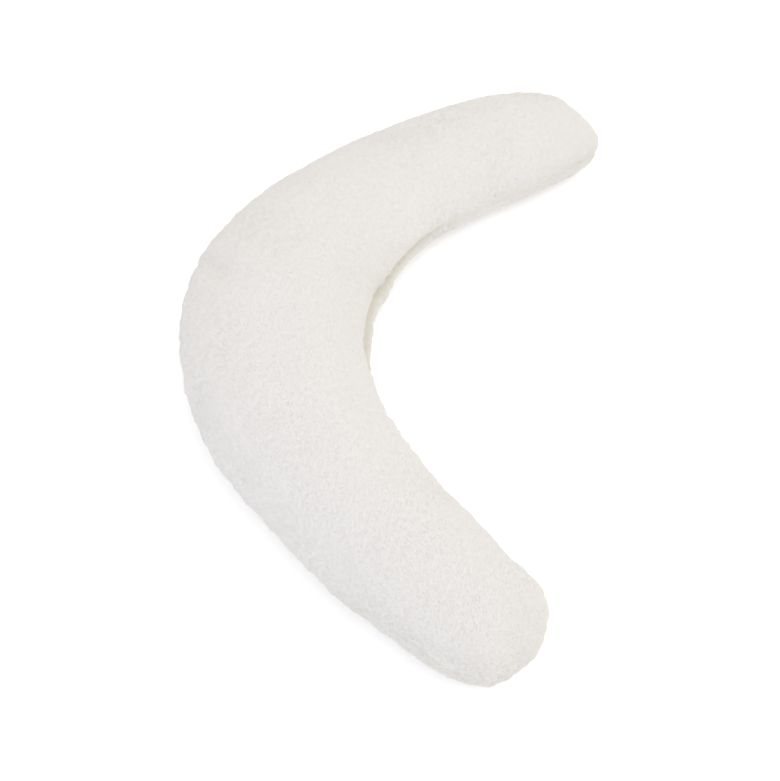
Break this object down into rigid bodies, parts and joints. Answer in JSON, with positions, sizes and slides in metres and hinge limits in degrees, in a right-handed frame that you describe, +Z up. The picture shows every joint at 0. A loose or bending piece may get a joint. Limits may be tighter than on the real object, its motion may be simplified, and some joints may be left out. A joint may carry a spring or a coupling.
{
  "type": "crescent body pillow",
  "caption": "Crescent-shaped body pillow: one filled plush cushion, widest at its middle bend and tapering along two curved arms to rounded ends, lying on its back.",
  "frame": {"origin": "on the floor plane, under the middle of the pillow's bounding box", "axes": "+X from tip to tip, the crescent opens towards -Y, +Z up through the pillow's crown"},
  "size_m": [1.2252, 0.741, 0.175],
  "materials": {
    "plush": "off-white short plush pile, matt and soft"
  },
  "bodies": {
    "root": {"pillow": "plush"}
  },
  "joints": []
}
